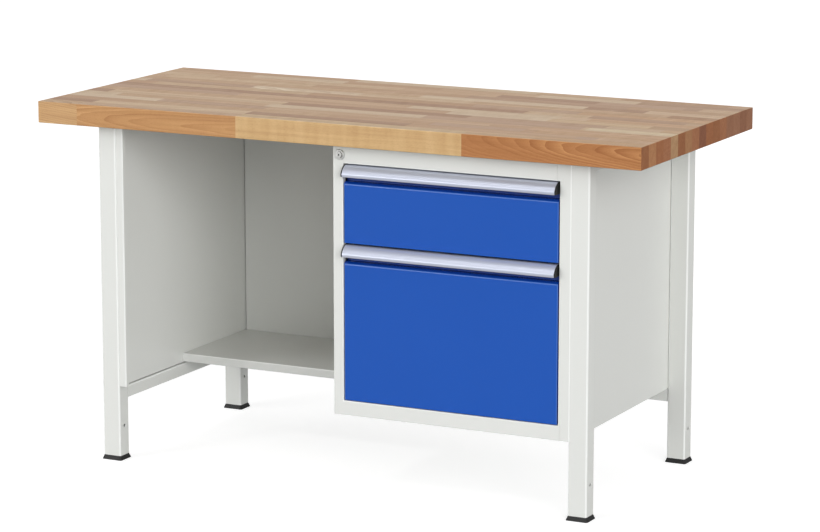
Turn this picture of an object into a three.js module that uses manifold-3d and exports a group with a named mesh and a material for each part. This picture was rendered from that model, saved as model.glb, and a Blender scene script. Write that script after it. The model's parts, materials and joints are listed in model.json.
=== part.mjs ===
// Workshop bench: a solid wood top on a steel frame, with an open bay and half-depth shelf on the left
// and a two-drawer cabinet on the right. Millimetres, +Z up, the front faces -Y, and the origin is on
// the floor under the middle of the top.
import * as THREE from 'three';
import { mergeVertices } from 'three/addons/utils/BufferGeometryUtils.js';
import Module from 'manifold-3d';

// Driving dimensions
const BENCH_WIDTH = 1500;
const BENCH_DEPTH = 650;
const BENCH_HEIGHT = 840;
const TOP_THICKNESS = 50;
const TOP_EDGE_EASE = 1.5;

const SHEET = 1.5;
const GAP = 0.3;
const OVERCUT = 5;
const LAP = 1;

const LEG = { width: 45, depth: 40, wall: 2, corner: 3 };
const LEG_INNER_X = 570;
const FRONT_Y = -283;
const BACK_Y = 321;
const LEG_HOLE = { diameter: 8, height: 80 };
const FOOT = { height: 10, baseWidth: 53, baseDepth: 48, rim: 1, spigotHeight: 20 };

const RAIL = { size: 30, wall: 2, bottom: 143, rearSetback: 3 };
const TOP_RAIL_HEIGHT = 31;
const SCREW = { shank: 6, head: 12, headHeight: 4, bite: 25, hole: 6.6, frontY: -180, rearY: 220 };

const PANEL_BOTTOM = 178;
const PANEL_BACK_Y = 303;
const SIDE_FLANGE = 19;
const SIDE_LEDGE = 28;
const FLANGE_LIP = 12;
const BACK_PANEL = { halfWidth: 561, face: 305, depth: 13 };
const SHELF = { top: 200, lip: 20, front: 0, fold: 15 };

const CABINET = { left: -5, bottom: 175, railFold: 15, topFold: 30 };
const OPENING = { left: 20, right: 545, bottom: 208.5, top: 746 };
const UPRIGHT = { depth: 30, frontY: -235, rearY: 190, topGap: 2, proud: 0.2 };

const DRAWERS = [
  { name: 'upper', level: 357.5, height: 180 },
  { name: 'lower', level: 0, height: 357.5 },
];
const FRONT_GAP = { side: 2.5, bottom: 2, total: 4.5 };
const FRONT = { depth: 20, recess: 12, bendDrop: 43.5, topDrop: 1.5 };
const BOX = { length: 500, bottom: 8, headroom: 66 };
const GRIP = { wall: 2.5, top: 2, reach: 17, drop: 19.5, lip: 25.5, lipTuck: 1.5, radius: 32, webDrop: 24 };
const GRIP_CAP = 2.7;

const SLIDE = { length: 500, wall: 1.2 };
const SLIDE_MEMBERS = [
  { name: 'cabinet', inset: 0.5, depth: 9, height: 45, opensInward: true },
  { name: 'middle', inset: 3, depth: 7, height: 39, opensInward: true },
  { name: 'drawer', inset: 6, depth: 7.2, height: 32, opensInward: false },
];
const SLIDE_SPACE = 13.5;

const LOCK = { x: 12.5, z: 765, head: 24, body: 18, plug: 14, rim: 1.5 };
const LOCK_LENGTH = { head: 3, body: 22, plugFront: 6.5, plug: 26 };
const KEYWAY = { width: 1.8, height: 7, depth: 12 };
const CAM = { thickness: 2, arm: 10, width: 10, pin: 4, pinPlay: 0.55, restAngle: -Math.PI / 4 };
const LOCK_BAR = { left: 2, right: 16, y: -252, thickness: 2, bottom: 370, headRight: 29, headHeight: 20 };
const HOOK = { right: 27, height: 8, aboveSlide: 3, clearance: 4 };
const CATCH = { y: -248, depth: 8, height: 8, left: 22.8 };
const GUIDE = { right: 18.2, height: 20, margin: 4, clearance: 0.4, levels: { lower: 450, upper: 700 } };

// Finishes
const PAINT = { color: 0xe2e3de, roughness: 0.45, metalness: 0.0 };
const BLUE = { color: 0x2d5db6, roughness: 0.4, metalness: 0.0 };
const BEECH = { color: 0xbc8d61, roughness: 0.55, metalness: 0.0 };
const ALUMINIUM = { color: 0xd2d4de, roughness: 0.3, metalness: 1.0 };
const BLACK_PLASTIC = { color: 0x1e1e22, roughness: 0.6, metalness: 0.0 };
const ZINC = { color: 0xb8bcc0, roughness: 0.35, metalness: 1.0 };
const NICKEL = { color: 0xc8c8c6, roughness: 0.25, metalness: 1.0 };

// Dimensions that follow from the ones above
const topUnderside = BENCH_HEIGHT - TOP_THICKNESS;
const sheetTop = topUnderside - GAP;
const legCentreX = LEG_INNER_X + LEG.width / 2;
const legCentreYs = { front: FRONT_Y + LEG.depth / 2, rear: BACK_Y - LEG.depth / 2 };
const railSpan = { from: FRONT_Y + LEG.depth + GAP, to: BACK_Y - LEG.depth - GAP };
const wallX = LEG_INNER_X - GAP;
const openingCentreX = (OPENING.left + OPENING.right) / 2;
const openingHalf = (OPENING.right - OPENING.left) / 2;
const frontHalf = openingHalf - FRONT_GAP.side;
const boxHalf = openingHalf - SLIDE_SPACE;
const boxFrontY = FRONT.depth + GAP;
const cabinetWallInner = CABINET.left + SHEET;

const wasm = await Module();
wasm.setup();

// Solids: joining and cutting closed meshes
function toSolid(geometry) {
  const bare = geometry.clone();
  bare.deleteAttribute('normal');
  bare.deleteAttribute('uv');
  const merged = mergeVertices(bare, 1e-4);
  return new wasm.Manifold(new wasm.Mesh({
    numProp: 3,
    vertProperties: new Float32Array(merged.attributes.position.array),
    triVerts: new Uint32Array(merged.index.array),
  }));
}

function toGeometry(solid) {
  const mesh = solid.getMesh();
  const geometry = new THREE.BufferGeometry();
  geometry.setAttribute('position', new THREE.BufferAttribute(new Float32Array(mesh.vertProperties), 3));
  geometry.setIndex(new THREE.BufferAttribute(new Uint32Array(mesh.triVerts), 1));
  geometry.computeVertexNormals();
  return geometry;
}

function join(...pieces) {
  return toGeometry(pieces.map(toSolid).reduce((whole, piece) => whole.add(piece)));
}

function cut(body, ...tools) {
  return toGeometry(tools.map(toSolid).reduce((left, tool) => left.subtract(tool), toSolid(body)));
}

// Stock: blocks, round bars and profiles pushed along one axis
function block([x0, x1], [y0, y1], [z0, z1]) {
  const geometry = new THREE.BoxGeometry(x1 - x0, y1 - y0, z1 - z0);
  return geometry.translate((x0 + x1) / 2, (y0 + y1) / 2, (z0 + z1) / 2);
}

function polygon(points) {
  return new THREE.Shape(points.map(([a, b]) => new THREE.Vector2(a, b)));
}

// A shape drawn in Y and Z, pushed along X.
function alongX(shape, from, to, curveSegments = 10) {
  const geometry = new THREE.ExtrudeGeometry(shape, { depth: to - from, bevelEnabled: false, curveSegments });
  const turn = new THREE.Matrix4().makeBasis(
    new THREE.Vector3(0, 1, 0), new THREE.Vector3(0, 0, 1), new THREE.Vector3(1, 0, 0));
  return geometry.applyMatrix4(turn).translate(from, 0, 0);
}

// A shape drawn in X and Z, pushed along Y.
function alongY(shape, from, to, curveSegments = 10) {
  const geometry = new THREE.ExtrudeGeometry(shape, { depth: to - from, bevelEnabled: false, curveSegments });
  const turn = new THREE.Matrix4().makeBasis(
    new THREE.Vector3(1, 0, 0), new THREE.Vector3(0, 0, 1), new THREE.Vector3(0, -1, 0));
  return geometry.applyMatrix4(turn).translate(0, to, 0);
}

// A shape drawn in X and Y, pushed along Z.
function alongZ(shape, from, to, curveSegments = 4) {
  const geometry = new THREE.ExtrudeGeometry(shape, { depth: to - from, bevelEnabled: false, curveSegments });
  return geometry.translate(0, 0, from);
}

function barX(diameter, from, to, y, z) {
  const geometry = new THREE.CylinderGeometry(diameter / 2, diameter / 2, to - from, 16);
  return geometry.rotateZ(Math.PI / 2).translate((from + to) / 2, y, z);
}

function barY(diameter, from, to, x, z, sides = 24) {
  const geometry = new THREE.CylinderGeometry(diameter / 2, diameter / 2, to - from, sides);
  return geometry.translate(x, (from + to) / 2, z);
}

function barZ(diameter, from, to, x, y, sides = 16) {
  const geometry = new THREE.CylinderGeometry(diameter / 2, diameter / 2, to - from, sides);
  return geometry.rotateX(Math.PI / 2).translate(x, y, (from + to) / 2);
}

function roundedRect(width, depth, radius) {
  const [w, d] = [width / 2, depth / 2];
  const shape = new THREE.Shape();
  shape.moveTo(w - radius, -d);
  shape.absarc(w - radius, -d + radius, radius, -Math.PI / 2, 0);
  shape.absarc(w - radius, d - radius, radius, 0, Math.PI / 2);
  shape.absarc(-w + radius, d - radius, radius, Math.PI / 2, Math.PI);
  shape.absarc(-w + radius, -d + radius, radius, Math.PI, 1.5 * Math.PI);
  return shape;
}

function tubeSection(width, depth, wall, corner) {
  const section = roundedRect(width, depth, corner);
  section.holes.push(roundedRect(width - 2 * wall, depth - 2 * wall, Math.max(corner - wall, 0.8)));
  return section;
}

function piece(name, geometry, finish) {
  const mesh = new THREE.Mesh(geometry, new THREE.MeshStandardMaterial(finish));
  mesh.name = name;
  return mesh;
}

// Worktop: one thick glued board with eased edges and blind holes for its screws
function worktop() {
  const half = { x: BENCH_WIDTH / 2 - TOP_EDGE_EASE, y: BENCH_DEPTH / 2 - TOP_EDGE_EASE };
  const outline = polygon([[-half.x, -half.y], [half.x, -half.y], [half.x, half.y], [-half.x, half.y]]);
  const board = new THREE.ExtrudeGeometry(outline, {
    depth: TOP_THICKNESS - 2 * TOP_EDGE_EASE,
    bevelThickness: TOP_EDGE_EASE,
    bevelSize: TOP_EDGE_EASE,
    bevelSegments: 1,
  }).translate(0, 0, topUnderside + TOP_EDGE_EASE);
  const holes = screwPlaces().map(({ x, y }) =>
    barZ(SCREW.hole, topUnderside - OVERCUT, topUnderside + SCREW.bite + GAP, x, y));
  return piece('worktop', cut(board, ...holes), BEECH);
}

// The four places where the top is screwed to the frame's top rails
function screwPlaces() {
  const x = LEG_INNER_X + RAIL.size / 2;
  return [
    { name: 'front_left', x: -x, y: SCREW.frontY },
    { name: 'rear_left', x: -x, y: SCREW.rearY },
    { name: 'front_right', x, y: SCREW.frontY },
    { name: 'rear_right', x, y: SCREW.rearY },
  ];
}

function worktopScrews() {
  const seat = sheetTop - TOP_RAIL_HEIGHT - GAP;
  return screwPlaces().map(({ name, x, y }) => piece(`worktop_screw_${name}`, join(
    barZ(SCREW.shank, seat - LAP, topUnderside + SCREW.bite, x, y, 12),
    barZ(SCREW.head, seat - SCREW.headHeight, seat, x, y, 6)), ZINC));
}

// Legs: rectangular tubes with a cross hole near the foot, each closed by a plastic foot
function leg(name, x, y) {
  const section = tubeSection(LEG.width, LEG.depth, LEG.wall, LEG.corner);
  const tube = alongZ(section, FOOT.height + GAP, sheetTop);
  const hole = barX(LEG_HOLE.diameter, -LEG.width, LEG.width, 0, LEG_HOLE.height);
  const mesh = piece(`leg_${name}`, cut(tube, hole), PAINT);
  mesh.position.set(x, y, 0);
  return mesh;
}

function foot(name, x, y) {
  const base = alongZ(roundedRect(FOOT.baseWidth, FOOT.baseDepth, LEG.corner + FOOT.rim), 0, FOOT.height);
  const corners = base.attributes.position;
  for (let i = 0; i < corners.count; i += 1) {
    const atTop = corners.getZ(i) > FOOT.height / 2;
    const narrowX = atTop ? (LEG.width + FOOT.rim) / FOOT.baseWidth : 1;
    const narrowY = atTop ? (LEG.depth + FOOT.rim) / FOOT.baseDepth : 1;
    corners.setXY(i, corners.getX(i) * narrowX, corners.getY(i) * narrowY);
  }
  const shrink = 2 * (LEG.wall + GAP);
  const spigot = alongZ(roundedRect(LEG.width - shrink, LEG.depth - shrink, 1),
    FOOT.height - LAP, FOOT.height + FOOT.spigotHeight);
  const mesh = piece(`foot_${name}`, join(base, spigot), BLACK_PLASTIC);
  mesh.position.set(x, y, 0);
  return mesh;
}

function legsAndFeet() {
  return ['front', 'rear'].flatMap((row) => [['left', -legCentreX], ['right', legCentreX]].flatMap(
    ([side, x]) => [
      leg(`${row}_${side}`, x, legCentreYs[row]),
      foot(`${row}_${side}`, x, legCentreYs[row]),
    ]));
}

// Frame rails: a lower rail on the left side and at the back, and a rail under each end of the top
function frameRails() {
  const square = tubeSection(RAIL.size, RAIL.size, RAIL.wall, LEG.corner);
  const lowZ = RAIL.bottom + RAIL.size / 2;
  const sideX = LEG_INNER_X + RAIL.size / 2;
  const left = piece('rail_lower_left', alongY(square, railSpan.from, railSpan.to, 3), PAINT);
  left.position.set(-sideX, 0, lowZ);
  const rear = piece('rail_lower_rear', alongX(square, -wallX, wallX, 3), PAINT);
  rear.position.set(0, railSpan.to + RAIL.rearSetback + RAIL.size / 2, lowZ);

  const tall = tubeSection(RAIL.size, TOP_RAIL_HEIGHT, RAIL.wall, LEG.corner);
  const topRails = [['left', -sideX], ['right', sideX]].map(([side, x]) => {
    const tube = alongY(tall, railSpan.from, railSpan.to, 3).translate(x, 0, sheetTop - TOP_RAIL_HEIGHT / 2);
    const holes = screwPlaces().filter((place) => place.x === x).map((place) =>
      barZ(SCREW.hole, sheetTop - TOP_RAIL_HEIGHT - OVERCUT, sheetTop + OVERCUT, place.x, place.y));
    return piece(`rail_top_${side}`, cut(tube, ...holes), PAINT);
  });
  return [left, rear, ...topRails];
}

// An upright wall of folded sheet: its front edge turns inwards by a flange and back again by a lip.
// outer is the wall's outer face, and inwards is +1 or -1 along X.
function foldedWall(outer, inwards, flange, bottom) {
  const at = (depth) => outer + inwards * depth;
  const lipY = FRONT_Y + FLANGE_LIP;
  const outline = [
    [at(0), PANEL_BACK_Y], [at(0), FRONT_Y], [at(flange), FRONT_Y], [at(flange), lipY],
    [at(flange - SHEET), lipY], [at(flange - SHEET), FRONT_Y + SHEET], [at(SHEET), FRONT_Y + SHEET],
    [at(SHEET), PANEL_BACK_Y],
  ];
  return alongZ(polygon(inwards > 0 ? outline : outline.reverse()), bottom, sheetTop);
}

// Panels of the open bay: the left side, the full-width back and the half-depth shelf.
// The left side's bottom edge turns outwards as a ledge over the lower rail.
function sidePanel() {
  const wall = foldedWall(-wallX, 1, SIDE_FLANGE, PANEL_BOTTOM);
  const ledge = block([-wallX - SIDE_LEDGE, -wallX + SHEET / 2], [railSpan.from, railSpan.to],
    [PANEL_BOTTOM, PANEL_BOTTOM + SHEET]);
  return piece('side_panel_left', join(wall, ledge), PAINT);
}

// A shallow pan open to the back, with a lip at each end that reaches the rear legs
function backPanel() {
  const { halfWidth, face, depth } = BACK_PANEL;
  const back = face + depth;
  const pan = cut(
    block([-halfWidth, halfWidth], [face, back], [PANEL_BOTTOM, sheetTop]),
    block([-halfWidth + SHEET, halfWidth - SHEET], [face + SHEET, back + OVERCUT],
      [PANEL_BOTTOM + SHEET, sheetTop - SHEET]));
  const lips = [-1, 1].map((side) => {
    const ends = [side * (halfWidth - SHEET / 2), side * wallX].sort((a, b) => a - b);
    return block(ends, [back - SHEET, back], [PANEL_BOTTOM, sheetTop]);
  });
  return piece('back_panel', join(pan, ...lips), PAINT);
}

function shelf() {
  const ends = [-wallX + SHEET + GAP, CABINET.left - GAP];
  const bottom = SHELF.top - SHELF.lip;
  const tray = cut(
    block(ends, [SHELF.front, PANEL_BACK_Y], [bottom, SHELF.top]),
    block([ends[0] + SHEET, ends[1] - SHEET], [SHELF.front + SHEET, PANEL_BACK_Y - SHEET],
      [bottom - OVERCUT, SHELF.top - SHEET]));
  const fold = block([ends[0] + SHEET / 2, ends[1] - SHEET / 2], [SHELF.front, SHELF.front + SHELF.fold],
    [bottom, bottom + SHEET]);
  return piece('shelf', join(tray, fold), PAINT);
}

// Cabinet: two side walls whose flanges are the stiles, a top rail, and a floor with the bottom rail
function cabinet() {
  const leftWall = foldedWall(CABINET.left, 1, OPENING.left - CABINET.left, CABINET.bottom);
  const lockHole = barY(LOCK.body + 2 * GAP, FRONT_Y - OVERCUT, FRONT_Y + LOCK_LENGTH.body + OVERCUT,
    LOCK.x, LOCK.z);
  const rightWall = foldedWall(wallX, -1, wallX - OPENING.right, CABINET.bottom);

  const railEnds = [OPENING.left + GAP, OPENING.right - GAP];
  const topRail = alongX(polygon([
    [FRONT_Y, OPENING.top], [FRONT_Y + CABINET.railFold, OPENING.top],
    [FRONT_Y + CABINET.railFold, OPENING.top + SHEET], [FRONT_Y + SHEET, OPENING.top + SHEET],
    [FRONT_Y + SHEET, sheetTop - SHEET], [FRONT_Y + CABINET.topFold, sheetTop - SHEET],
    [FRONT_Y + CABINET.topFold, sheetTop], [FRONT_Y, sheetTop],
  ]), ...railEnds);

  const floorBack = PANEL_BACK_Y - LAP;
  const floorTop = CABINET.bottom + SHEET;
  const floor = alongX(polygon([
    [FRONT_Y, CABINET.bottom], [floorBack, CABINET.bottom], [floorBack, floorTop],
    [FRONT_Y + SHEET, floorTop], [FRONT_Y + SHEET, OPENING.bottom - SHEET],
    [FRONT_Y + CABINET.railFold, OPENING.bottom - SHEET], [FRONT_Y + CABINET.railFold, OPENING.bottom],
    [FRONT_Y, OPENING.bottom],
  ]), ...railEnds);
  const wings = block([cabinetWallInner + GAP, wallX - SHEET - GAP],
    [FRONT_Y + CABINET.railFold, floorBack], [CABINET.bottom, floorTop]);
  return [
    piece('cabinet_left_side', cut(leftWall, lockHole), PAINT),
    piece('cabinet_right_side', rightWall, PAINT),
    piece('cabinet_top_rail', cut(topRail, lockHole), PAINT),
    piece('cabinet_floor', join(floor, wings), PAINT),
  ];
}

// Uprights: channels that stand between the cabinet's walls and the slides, and carry the slides
function uprights() {
  const bottom = CABINET.bottom + SHEET + GAP;
  const sides = [
    { name: 'left', wall: cabinetWallInner + GAP, face: OPENING.left + UPRIGHT.proud },
    { name: 'right', wall: wallX - SHEET - GAP, face: OPENING.right - UPRIGHT.proud },
  ];
  return sides.flatMap(({ name, wall, face }) => ['front', 'rear'].map((row) => {
    const y0 = UPRIGHT[`${row}Y`];
    const y1 = y0 + UPRIGHT.depth;
    const web = face - Math.sign(face - wall) * SHEET;
    const outline = [
      [wall, y0], [face, y0], [face, y1], [wall, y1],
      [wall, y1 - SHEET], [web, y1 - SHEET], [web, y0 + SHEET], [wall, y0 + SHEET],
    ];
    const section = polygon(face > wall ? outline : outline.reverse());
    const channel = alongZ(section, bottom, topUnderside - UPRIGHT.topGap);
    return piece(`upright_${row}_${name}`, channel, PAINT);
  }));
}

// Slides: three nested channels on each side of a drawer. side is -1 on the left and +1 on the right.
function slides(drawer, side, centreZ) {
  const sideName = side < 0 ? 'left' : 'right';
  return SLIDE_MEMBERS.map(({ name, inset, depth, height, opensInward }) => {
    const outer = openingHalf - inset;
    const inner = outer - depth;
    const [webX, mouthX] = opensInward ? [outer, inner] : [inner, outer];
    const webInner = webX + Math.sign(mouthX - webX) * SLIDE.wall;
    const half = height / 2;
    const lip = half - SLIDE.wall;
    const outline = [
      [webX, -half], [mouthX, -half], [mouthX, -lip], [webInner, -lip],
      [webInner, lip], [mouthX, lip], [mouthX, half], [webX, half],
    ].map(([x, z]) => [side * x, z]);
    const facesOut = side * (mouthX - webX) > 0;
    const channel = alongY(polygon(facesOut ? outline : outline.reverse()), 0, SLIDE.length);
    const mesh = piece(`${drawer}_slide_${sideName}_${name}`, channel, ZINC);
    mesh.position.set(0, boxFrontY, centreZ);
    return mesh;
  });
}

// Drawer front: a blue pan whose face steps back near the top to make room for fingers
function drawerFront(name, height) {
  const bend = height - FRONT.bendDrop;
  const outside = [
    [0, 0], [FRONT.depth, 0], [FRONT.depth, height - FRONT.topDrop], [FRONT.recess, height - FRONT.topDrop],
    [FRONT.recess, bend + FRONT.recess], [0, bend],
  ];
  const crook = SHEET * Math.tan(Math.PI / 8);
  const inside = [
    [SHEET, SHEET], [FRONT.depth + OVERCUT, SHEET], [FRONT.depth + OVERCUT, height - FRONT.topDrop - SHEET],
    [FRONT.recess + SHEET, height - FRONT.topDrop - SHEET],
    [FRONT.recess + SHEET, bend + FRONT.recess - crook], [SHEET, bend - crook],
  ];
  return piece(`${name}_drawer_front`, cut(
    alongX(polygon(outside), -frontHalf, frontHalf),
    alongX(polygon(inside), -frontHalf + SHEET, frontHalf - SHEET)), BLUE);
}

function drawerBox(name, height) {
  const top = BOX.bottom + height;
  const back = boxFrontY + BOX.length;
  return piece(`${name}_drawer_box`, cut(
    block([-boxHalf, boxHalf], [boxFrontY, back], [BOX.bottom, top]),
    block([-boxHalf + SHEET, boxHalf - SHEET], [boxFrontY + SHEET, back - SHEET],
      [BOX.bottom + SHEET, top + OVERCUT])), PAINT);
}

// The centre and the two angles of the grip's outer arc, from its top edge out and down to its lip
function gripArc(height) {
  const start = new THREE.Vector2(GRIP.top, height);
  const end = new THREE.Vector2(-GRIP.reach, height - GRIP.drop);
  const chord = end.clone().sub(start);
  const toCentre = new THREE.Vector2(-chord.y, chord.x).normalize();
  const sag = Math.sqrt(GRIP.radius ** 2 - chord.lengthSq() / 4);
  const centre = start.clone().add(end).multiplyScalar(0.5).addScaledVector(toCentre, sag);
  const angleOf = (point) => Math.atan2(point.y - centre.y, point.x - centre.x);
  return { centre, from: angleOf(start), to: angleOf(end) };
}

function gripOuterEdge(height, back) {
  const { centre, from, to } = gripArc(height);
  const edge = new THREE.Shape();
  edge.moveTo(back, height);
  edge.lineTo(GRIP.top, height);
  edge.absarc(centre.x, centre.y, GRIP.radius, from, to, false);
  edge.lineTo(-GRIP.reach + GRIP.lipTuck, height - GRIP.lip);
  return edge;
}

// Grip: a bent aluminium strip over the finger recess, held by a web at its back
function drawerGrip(name, height) {
  const back = FRONT.recess - GAP;
  const { centre, from, to } = gripArc(height);
  const shape = gripOuterEdge(height, back);
  shape.lineTo(-GRIP.reach + GRIP.lipTuck + GRIP.wall, height - GRIP.lip);
  shape.absarc(centre.x, centre.y, GRIP.radius - GRIP.wall, to, from, true);
  shape.lineTo(back - GRIP.wall, height - GRIP.wall);
  shape.lineTo(back - GRIP.wall, height - GRIP.webDrop);
  shape.lineTo(back, height - GRIP.webDrop);
  const half = frontHalf - GRIP_CAP - GAP;
  return piece(`${name}_drawer_grip`, alongX(shape, -half, half, 8), ALUMINIUM);
}

function gripCap(name, side, height) {
  const back = FRONT.recess - GAP;
  const shape = gripOuterEdge(height, back);
  shape.lineTo(back, height - GRIP.lip);
  const ends = [side * (frontHalf - GRIP_CAP), side * frontHalf].sort((a, b) => a - b);
  return piece(`${name}_grip_cap_${side < 0 ? 'left' : 'right'}`, alongX(shape, ...ends, 8), BLACK_PLASTIC);
}

// The catch on a drawer's left wall that the lock bar's hook blocks
function drawerCatch(name, slideZ) {
  const bottom = slideZ + hookRise() + HOOK.height + HOOK.clearance;
  const y = CATCH.y - FRONT_Y;
  const ends = [CATCH.left - openingCentreX, -boxHalf - GAP];
  const stop = block(ends, [y, y + CATCH.depth], [bottom, bottom + CATCH.height]);
  return piece(`${name}_drawer_catch`, stop, ZINC);
}

// How far a hook's lower edge sits above the middle of its drawer's slide
function hookRise() {
  return SLIDE_MEMBERS[0].height / 2 + HOOK.aboveSlide;
}

function slideLevel(unitHeight) {
  return BOX.bottom + (unitHeight - BOX.headroom) / 2;
}

function drawer({ name, level, height: unitHeight }) {
  const height = unitHeight - FRONT_GAP.total;
  const slideZ = slideLevel(unitHeight);
  const group = new THREE.Group();
  group.position.set(openingCentreX, FRONT_Y, OPENING.bottom + level + FRONT_GAP.bottom);
  group.add(
    drawerFront(name, height),
    drawerBox(name, unitHeight - BOX.headroom),
    drawerGrip(name, height),
    gripCap(name, -1, height),
    gripCap(name, 1, height),
    drawerCatch(name, slideZ),
    ...slides(name, -1, slideZ),
    ...slides(name, 1, slideZ),
  );
  return group;
}

// Lock: a fixed housing, a plug that turns in it, a cam with a pin, and a bar that the pin lifts
function lockHousing() {
  const [head, body] = [LOCK.head / 2, LOCK.body / 2];
  const bore = LOCK.plug / 2 + GAP;
  const front = -LOCK_LENGTH.head;
  const profile = [
    [bore, front], [head - LOCK.rim, front], [head, front + LOCK.rim], [head, -GAP],
    [body, -GAP], [body, LOCK_LENGTH.body], [bore, LOCK_LENGTH.body], [bore, front],
  ].map(([radius, y]) => new THREE.Vector2(radius, y));
  const mesh = piece('lock_housing', new THREE.LatheGeometry(profile, 32), NICKEL);
  mesh.position.set(LOCK.x, FRONT_Y, LOCK.z);
  return mesh;
}

function lockBarrel() {
  const front = -LOCK_LENGTH.plugFront;
  const slot = block([-KEYWAY.width / 2, KEYWAY.width / 2], [front - OVERCUT, front + KEYWAY.depth],
    [-KEYWAY.height / 2, KEYWAY.height / 2]);
  const mesh = piece('lock_barrel', cut(barY(LOCK.plug, front, LOCK_LENGTH.plug, 0, 0), slot), NICKEL);
  mesh.position.set(LOCK.x, FRONT_Y, LOCK.z);
  return mesh;
}

// The pin's place at rest, seen from the lock's axis
const pinX = CAM.arm * Math.cos(CAM.restAngle);
const pinZ = CAM.arm * Math.sin(CAM.restAngle);

function lockCam() {
  const half = CAM.width / 2;
  const lever = new THREE.Shape();
  lever.moveTo(0, -half);
  lever.absarc(CAM.arm, 0, half, -Math.PI / 2, Math.PI / 2);
  lever.absarc(0, 0, half, Math.PI / 2, 1.5 * Math.PI);
  const plate = alongY(lever, 0, CAM.thickness, 8).rotateY(-CAM.restAngle);
  const pinEnd = LOCK_BAR.y + LOCK_BAR.thickness + CAM.pinPlay - (FRONT_Y + LOCK_LENGTH.plug + GAP);
  const pin = barY(CAM.pin, CAM.thickness / 2, pinEnd, pinX, pinZ, 16);
  const mesh = piece('lock_cam', join(plate, pin), ZINC);
  mesh.position.set(LOCK.x, FRONT_Y + LOCK_LENGTH.plug + GAP, LOCK.z);
  return mesh;
}

function lockBar() {
  const across = [LOCK_BAR.y, LOCK_BAR.y + LOCK_BAR.thickness];
  const slotZ = LOCK.z + pinZ;
  const headBottom = slotZ - LOCK_BAR.headHeight / 2;
  const stem = block([LOCK_BAR.left, LOCK_BAR.right], across, [LOCK_BAR.bottom, headBottom + LAP]);
  const headTop = headBottom + LOCK_BAR.headHeight;
  const head = block([LOCK_BAR.left, LOCK_BAR.headRight], across, [headBottom, headTop]);
  const hooks = DRAWERS.map(({ level, height }) => {
    const bottom = OPENING.bottom + level + FRONT_GAP.bottom + slideLevel(height) + hookRise();
    return block([LOCK_BAR.right - LAP, HOOK.right], across, [bottom, bottom + HOOK.height]);
  });
  const slotHalf = CAM.pin / 2 + CAM.pinPlay;
  const slot = block([LOCK.x + pinX - slotHalf - CAM.pinPlay, LOCK.x + CAM.arm + slotHalf + CAM.pinPlay],
    [across[0] - OVERCUT, across[1] + OVERCUT], [slotZ - slotHalf, slotZ + slotHalf]);
  return piece('lock_bar', cut(join(stem, head, ...hooks), slot), ZINC);
}

function lockBarGuide(name, level) {
  const { clearance, margin } = GUIDE;
  const [front, back] = [LOCK_BAR.y, LOCK_BAR.y + LOCK_BAR.thickness];
  const body = block([cabinetWallInner + GAP, GUIDE.right], [front - margin, back + margin],
    [level, level + GUIDE.height]);
  const passage = block([LOCK_BAR.left - clearance, LOCK_BAR.right + clearance],
    [front - clearance, back + clearance], [level - OVERCUT, level + GUIDE.height + OVERCUT]);
  return piece(`lock_bar_guide_${name}`, cut(body, passage), BLACK_PLASTIC);
}

const bench = new THREE.Group();
bench.name = 'workshop_bench';
bench.add(
  worktop(), ...worktopScrews(), ...legsAndFeet(), ...frameRails(),
  sidePanel(), backPanel(), shelf(),
  ...cabinet(), ...uprights(),
  ...DRAWERS.map(drawer),
  lockHousing(), lockBarrel(), lockCam(), lockBar(),
  ...Object.entries(GUIDE.levels).map(([name, level]) => lockBarGuide(name, level)),
);

export default bench;
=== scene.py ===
"""A workshop bench: glued wood top, grey steel frame, open bay with a shelf, and a two-drawer cabinet."""
import json
import math
from types import SimpleNamespace
import bmesh
import bpy
from mathutils import Matrix, Vector

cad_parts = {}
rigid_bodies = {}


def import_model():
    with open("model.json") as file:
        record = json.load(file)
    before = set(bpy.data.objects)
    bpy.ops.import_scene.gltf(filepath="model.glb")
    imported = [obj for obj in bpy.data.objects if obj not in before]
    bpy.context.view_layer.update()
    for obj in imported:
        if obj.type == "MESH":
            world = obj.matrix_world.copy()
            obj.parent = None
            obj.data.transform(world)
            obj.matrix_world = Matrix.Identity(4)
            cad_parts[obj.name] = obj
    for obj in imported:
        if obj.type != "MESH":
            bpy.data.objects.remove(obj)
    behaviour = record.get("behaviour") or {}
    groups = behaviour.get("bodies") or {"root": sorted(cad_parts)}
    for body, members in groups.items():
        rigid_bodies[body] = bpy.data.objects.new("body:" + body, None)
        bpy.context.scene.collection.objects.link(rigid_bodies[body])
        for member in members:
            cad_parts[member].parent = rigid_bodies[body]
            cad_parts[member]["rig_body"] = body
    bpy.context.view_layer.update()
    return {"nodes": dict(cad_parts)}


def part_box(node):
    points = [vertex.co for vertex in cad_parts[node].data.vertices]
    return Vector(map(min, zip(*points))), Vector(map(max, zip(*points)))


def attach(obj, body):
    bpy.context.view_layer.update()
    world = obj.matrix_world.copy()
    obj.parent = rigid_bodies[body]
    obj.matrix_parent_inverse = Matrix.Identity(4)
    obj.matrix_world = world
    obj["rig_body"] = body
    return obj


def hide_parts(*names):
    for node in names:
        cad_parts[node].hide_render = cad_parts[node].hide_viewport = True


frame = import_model()

X, Y, Z = 0, 1, 2
MM = 0.001
CORNERS = ("front_left", "front_right", "rear_left", "rear_right")
SIDES = ("left", "right")
DRAWERS = ("upper", "lower")

# Sheet metal and tube
SHEET = 1.5 * MM
FOLD = 2.4 * MM
FOLD_STEPS = 4
TIGHT_STEPS = 3
WIDE_STEPS = 5
TUBE_WALL = 2 * MM
TUBE_CORNER = 4 * MM
TUBE_STEPS = 6
CUT_PAST = 5 * MM

# Eased edges and shading, with angles in degrees
RIM_EASE = 0.3 * MM
FINE_EASE = 0.25 * MM
SOFT_EASE = 0.5 * MM
MOULD_EASE = 0.6 * MM
EASE_STEPS = 2
EASE_ANGLE = 40
SMOOTH_ANGLE = 32

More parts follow.
